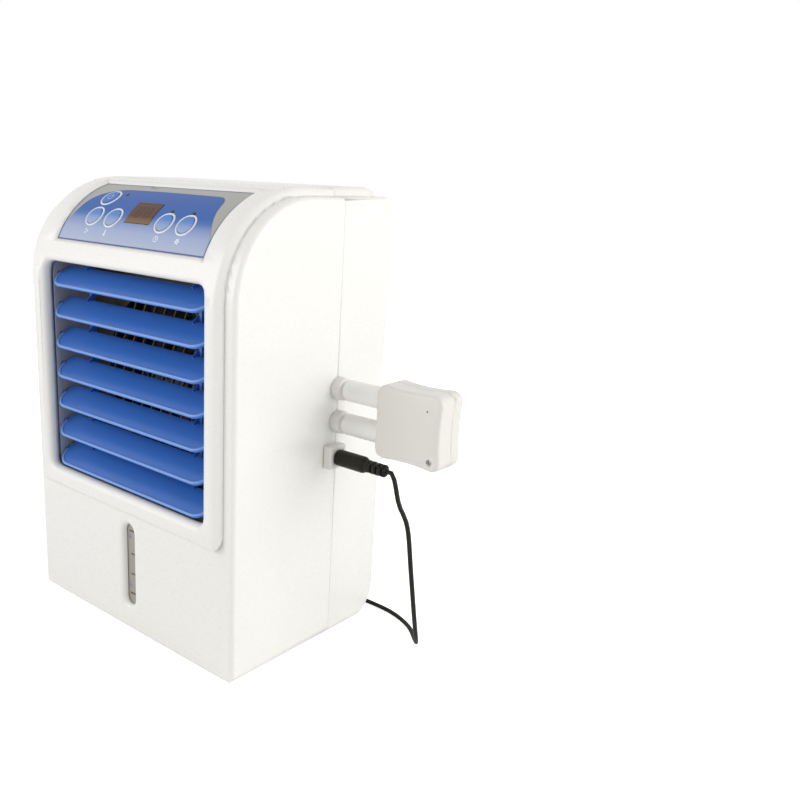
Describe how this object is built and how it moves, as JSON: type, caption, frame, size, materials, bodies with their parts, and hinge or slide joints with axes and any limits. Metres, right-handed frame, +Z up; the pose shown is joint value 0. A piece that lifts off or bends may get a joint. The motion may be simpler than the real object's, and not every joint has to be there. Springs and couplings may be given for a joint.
{
  "type": "evaporative cooling fan host",
  "caption": "Desktop evaporative cooling fan host of a water cooled mattress pad, with tilting louvre, control panel, side hose ports and a plug-on water return device.",
  "frame": {"origin": "on the surface the host stands on, below the middle of the box that holds the host and its return device", "axes": "+Z up, -Y towards the louvre and the panel, +X towards the hose ports and the return device"},
  "size_m": [0.2878, 0.2044, 0.2979],
  "materials": {
    "white_shell": "semi-gloss white ABS",
    "port_white": "satin white plastic",
    "device_white": "semi-gloss white ABS",
    "sleeve_white": "matt white silicone",
    "milky_hose": "milky silicone",
    "louvre_blue": "satin blue plastic",
    "louvre_grey": "satin grey plastic",
    "guard_brown": "brown grey plastic",
    "label_blue": "printed film, blue on silver grey",
    "button_blue": "satin blue plastic with a silver ring",
    "display_amber": "smoked amber lens",
    "clear_lens": "clear plastic",
    "window_clear": "clear plastic with level marks",
    "black_plastic": "satin black plastic",
    "board_green": "green solder mask",
    "plated_steel": "zinc plated steel",
    "pad_paper": "brown cellulose honeycomb",
    "filter_net": "dark filter net",
    "tank_clear": "translucent plastic",
    "black_rubber": "matt black",
    "tie_fabric": "black hook and loop",
    "pin_metal": "nickel plated brass"
  },
  "bodies": {
    "host": {"front_housing": "white_shell", "rear_cover": "white_shell", "control_label": "label_blue", "display_lens": "display_amber", "display_module": "black_plastic", "indicator_lenses": "clear_lens", "control_board": "board_green", "louvre_frame": "louvre_grey", "outlet_guard": "guard_brown", "fan_frame": "black_plastic", "fan_motor": "plated_steel", "ion_generator": "black_plastic", "cooling_pad": "pad_paper", "pad_frame": "port_white", "drip_tray": "port_white", "water_tank": "tank_clear", "pump": "black_plastic", "supply_hose": "milky_hose", "return_hose": "milky_hose", "level_window": "window_clear", "port_upper": "port_white", "port_lower": "port_white", "dc_socket": "port_white", "rubber_foot_front": "black_rubber", "rubber_foot_rear": "black_rubber", "case_screw_left_lower": "plated_steel", "case_screw_left_upper": "plated_steel", "case_screw_right_lower": "plated_steel", "case_screw_right_upper": "plated_steel", "dc_plug": "black_rubber", "dc_cord": "black_rubber", "cord_coil": "black_rubber", "coil_tie": "tie_fabric", "power_adaptor": "black_plastic", "adaptor_pins": "pin_metal"},
    "blade_1": {"louvre_blade_1": "louvre_blue"},
    "blade_2": {"louvre_blade_2": "louvre_blue"},
    "blade_3": {"louvre_blade_3": "louvre_blue"},
    "blade_4": {"louvre_blade_4": "louvre_blue"},
    "blade_5": {"louvre_blade_5": "louvre_blue"},
    "blade_6": {"louvre_blade_6": "louvre_blue"},
    "blade_7": {"louvre_blade_7": "louvre_blue"},
    "link_left": {"louvre_link_left": "louvre_blue"},
    "link_right": {"louvre_link_right": "louvre_blue"},
    "power_key": {"power_button": "button_blue"},
    "fan_speed_key": {"fan_speed_button": "button_blue"},
    "thermostat_key": {"thermostat_button": "button_blue"},
    "timer_key": {"timer_button": "button_blue"},
    "ion_key": {"ion_button": "button_blue"},
    "impeller": {"fan_impeller": "black_plastic"},
    "lid": {"top_lid": "white_shell"},
    "grille": {"rear_grille": "white_shell", "filter_mesh": "filter_net"},
    "spout_plug": {"drain_plug": "black_rubber"},
    "return_device": {"device_front_shell": "device_white", "device_rear_shell": "device_white", "device_sleeve_upper": "sleeve_white", "device_sleeve_lower": "sleeve_white", "device_tube": "milky_hose", "device_screw": "plated_steel"}
  },
  "joints": [
    {"name": "louvre_1", "type": "hinge", "parent": "host", "child": "blade_1", "pos_m": [-0.0429, -0.0593, 0.2343], "axis": [1, 0, 0], "range_deg": [-50, 9]},
    {"name": "louvre_2", "type": "hinge", "parent": "host", "child": "blade_2", "pos_m": [-0.0429, -0.0593, 0.2137], "axis": [1, 0, 0], "range_deg": [-50, 9]},
    {"name": "louvre_3", "type": "hinge", "parent": "host", "child": "blade_3", "pos_m": [-0.0429, -0.0593, 0.1931], "axis": [1, 0, 0], "range_deg": [-50, 9]},
    {"name": "louvre_4", "type": "hinge", "parent": "host", "child": "blade_4", "pos_m": [-0.0429, -0.0593, 0.1725], "axis": [1, 0, 0], "range_deg": [-50, 9]},
    {"name": "louvre_5", "type": "hinge", "parent": "host", "child": "blade_5", "pos_m": [-0.0429, -0.0593, 0.1519], "axis": [1, 0, 0], "range_deg": [-50, 9]},
    {"name": "louvre_6", "type": "hinge", "parent": "host", "child": "blade_6", "pos_m": [-0.0429, -0.0593, 0.1313], "axis": [1, 0, 0], "range_deg": [-50, 9]},
    {"name": "louvre_7", "type": "hinge", "parent": "host", "child": "blade_7", "pos_m": [-0.0429, -0.0593, 0.1107], "axis": [1, 0, 0], "range_deg": [-50, 9]},
    {"name": "link_left_pin", "type": "hinge", "parent": "blade_1", "child": "link_left", "pos_m": [-0.0979, -0.04966, 0.24229], "axis": [1, 0, 0], "range_deg": [-9, 50]},
    {"name": "link_right_pin", "type": "hinge", "parent": "blade_1", "child": "link_right", "pos_m": [0.0121, -0.04966, 0.24229], "axis": [1, 0, 0], "range_deg": [-9, 50]},
    {"name": "power_press", "type": "slide", "parent": "host", "child": "power_key", "axis": [0, 0.5476, -0.8368], "range_m": [0, 0.0008], "stiffness_N_per_m": 200},
    {"name": "fan_speed_press", "type": "slide", "parent": "host", "child": "fan_speed_key", "axis": [0, 0.7455, -0.6665], "range_m": [0, 0.0008], "stiffness_N_per_m": 200},
    {"name": "thermostat_press", "type": "slide", "parent": "host", "child": "thermostat_key", "axis": [0, 0.7455, -0.6665], "range_m": [0, 0.0008], "stiffness_N_per_m": 200},
    {"name": "timer_press", "type": "slide", "parent": "host", "child": "timer_key", "axis": [0, 0.7455, -0.6665], "range_m": [0, 0.0008], "stiffness_N_per_m": 200},
    {"name": "ion_press", "type": "slide", "parent": "host", "child": "ion_key", "axis": [0, 0.7455, -0.6665], "range_m": [0, 0.0008], "stiffness_N_per_m": 200},
    {"name": "fan_spin", "type": "hinge", "parent": "host", "child": "impeller", "pos_m": [-0.0429, -0.02175, 0.1725], "axis": [0, 1, 0], "continuous": true},
    {"name": "lid_hinge", "type": "hinge", "parent": "host", "child": "lid", "pos_m": [-0.0429, 0.0522, 0.2964], "axis": [-1, 0, 0], "range_deg": [0, 100]},
    {"name": "grille_pull", "type": "slide", "parent": "host", "child": "grille", "axis": [0, 1, 0], "range_m": [0, 0.03]},
    {"name": "spout_plug_pull", "type": "slide", "parent": "host", "child": "spout_plug", "axis": [0, 1, 0], "range_m": [0, 0.012]},
    {"name": "return_device_pull", "type": "slide", "parent": "host", "child": "return_device", "axis": [1, 0, 0], "range_m": [0, 0.022]}
  ],
  "couplings": [
    {"joint": "louvre_2", "follows": "louvre_1", "ratio": 1},
    {"joint": "louvre_3", "follows": "louvre_1", "ratio": 1},
    {"joint": "louvre_4", "follows": "louvre_1", "ratio": 1},
    {"joint": "louvre_5", "follows": "louvre_1", "ratio": 1},
    {"joint": "louvre_6", "follows": "louvre_1", "ratio": 1},
    {"joint": "louvre_7", "follows": "louvre_1", "ratio": 1},
    {"joint": "link_left_pin", "follows": "louvre_1", "ratio": -1},
    {"joint": "link_right_pin", "follows": "louvre_1", "ratio": -1}
  ]
}
